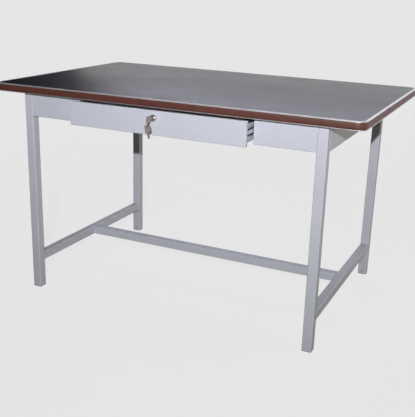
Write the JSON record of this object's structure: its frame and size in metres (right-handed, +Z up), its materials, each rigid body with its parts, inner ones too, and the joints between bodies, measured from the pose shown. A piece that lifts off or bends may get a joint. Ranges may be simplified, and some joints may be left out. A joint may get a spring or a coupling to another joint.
{
  "type": "work table with drawer",
  "caption": "Steel-framed work table with a dark mat top in a metal edge, square tube legs joined by an H stretcher, and a shallow lockable drawer on ball-bearing slides.",
  "frame": {"origin": "on the floor, under the middle of the table's plan outline with the drawer a little open and the keys in", "axes": "+X to the right along the long side, +Y from the drawer to the back, +Z up"},
  "size_m": [1.3, 0.8762, 0.75],
  "materials": {
    "painted_steel": "satin powder coat, light blue-grey",
    "mat": "satin black",
    "board": "raw chipboard underside",
    "trim": "satin anodised",
    "edge_strip": "red-brown, half gloss",
    "foot_plastic": "mid grey",
    "slide_steel": "bright zinc plate",
    "cage_steel": "pressed sheet",
    "ball_steel": "polished balls",
    "lock": "bright chrome plate",
    "hardware": "plated steel",
    "key_metal": "worn nickel plate over brass"
  },
  "bodies": {
    "frame": {"top_board": "board", "top_mat": "mat", "edge_trim": "trim", "edge_insert": "edge_strip", "leg_front_left": "painted_steel", "leg_front_right": "painted_steel", "leg_rear_left": "painted_steel", "leg_rear_right": "painted_steel", "foot_front_left": "foot_plastic", "foot_front_right": "foot_plastic", "foot_rear_left": "foot_plastic", "foot_rear_right": "foot_plastic", "apron_left": "painted_steel", "apron_right": "painted_steel", "apron_rear": "painted_steel", "apron_front_left": "painted_steel", "apron_front_right": "painted_steel", "lock_keeper": "slide_steel", "stretcher_left": "painted_steel", "stretcher_right": "painted_steel", "stretcher_centre": "painted_steel", "carrier_left": "slide_steel", "carrier_right": "slide_steel", "slide_outer_left": "slide_steel", "slide_outer_right": "slide_steel"},
    "drawer": {"drawer_front": "painted_steel", "drawer_liner": "painted_steel", "drawer_tray": "painted_steel", "drawer_back": "painted_steel", "slide_inner_left": "slide_steel", "slide_inner_right": "slide_steel", "lock_housing": "lock", "lock_nut": "hardware"},
    "left_middle_member": {"slide_middle_left": "slide_steel"},
    "left_outer_cage": {"outer_cage_left": "cage_steel", "outer_balls_left": "ball_steel"},
    "left_inner_cage": {"inner_cage_left": "cage_steel", "inner_balls_left": "ball_steel"},
    "right_middle_member": {"slide_middle_right": "slide_steel"},
    "right_outer_cage": {"outer_cage_right": "cage_steel", "outer_balls_right": "ball_steel"},
    "right_inner_cage": {"inner_cage_right": "cage_steel", "inner_balls_right": "ball_steel"},
    "lock": {"lock_plug": "lock", "lock_cam": "hardware", "cam_screw": "hardware"},
    "key": {"key": "key_metal"},
    "ring": {"key_ring": "hardware"},
    "spare_key": {"spare_key": "key_metal"}
  },
  "joints": [
    {"name": "drawer_slide", "type": "slide", "parent": "frame", "child": "drawer", "axis": [0, -1, 0], "range_m": [-0.057, 0.373]},
    {"name": "left_middle_member_slide", "type": "slide", "parent": "frame", "child": "left_middle_member", "axis": [0, -1, 0], "range_m": [-0.0285, 0.1865]},
    {"name": "left_outer_cage_slide", "type": "slide", "parent": "frame", "child": "left_outer_cage", "axis": [0, -1, 0], "range_m": [-0.01425, 0.09325]},
    {"name": "left_inner_cage_slide", "type": "slide", "parent": "frame", "child": "left_inner_cage", "axis": [0, -1, 0], "range_m": [-0.04275, 0.27975]},
    {"name": "right_middle_member_slide", "type": "slide", "parent": "frame", "child": "right_middle_member", "axis": [0, -1, 0], "range_m": [-0.0285, 0.1865]},
    {"name": "right_outer_cage_slide", "type": "slide", "parent": "frame", "child": "right_outer_cage", "axis": [0, -1, 0], "range_m": [-0.01425, 0.09325]},
    {"name": "right_inner_cage_slide", "type": "slide", "parent": "frame", "child": "right_inner_cage", "axis": [0, -1, 0], "range_m": [-0.04275, 0.27975]},
    {"name": "lock_turn", "type": "hinge", "parent": "drawer", "child": "lock", "pos_m": [0, -0.39385, 0.6985], "axis": [0, 1, 0], "range_deg": [0, 90]},
    {"name": "key_pull", "type": "slide", "parent": "lock", "child": "key", "axis": [0, -1, 0], "range_m": [-0.0115, 0.03]},
    {"name": "ring_swing", "type": "hinge", "parent": "key", "child": "ring", "pos_m": [0, -0.4306, 0.6974], "axis": [0.7071, -0.7071, 0], "range_deg": [-60, 20]},
    {"name": "spare_key_swing", "type": "hinge", "parent": "ring", "child": "spare_key", "pos_m": [0, -0.4306, 0.6784], "axis": [0.7071, -0.7071, 0], "range_deg": [-40, 40]}
  ],
  "couplings": [
    {"joint": "left_middle_member_slide", "follows": "drawer_slide", "ratio": 0.5},
    {"joint": "left_outer_cage_slide", "follows": "drawer_slide", "ratio": 0.25},
    {"joint": "left_inner_cage_slide", "follows": "drawer_slide", "ratio": 0.75},
    {"joint": "right_middle_member_slide", "follows": "drawer_slide", "ratio": 0.5},
    {"joint": "right_outer_cage_slide", "follows": "drawer_slide", "ratio": 0.25},
    {"joint": "right_inner_cage_slide", "follows": "drawer_slide", "ratio": 0.75}
  ]
}
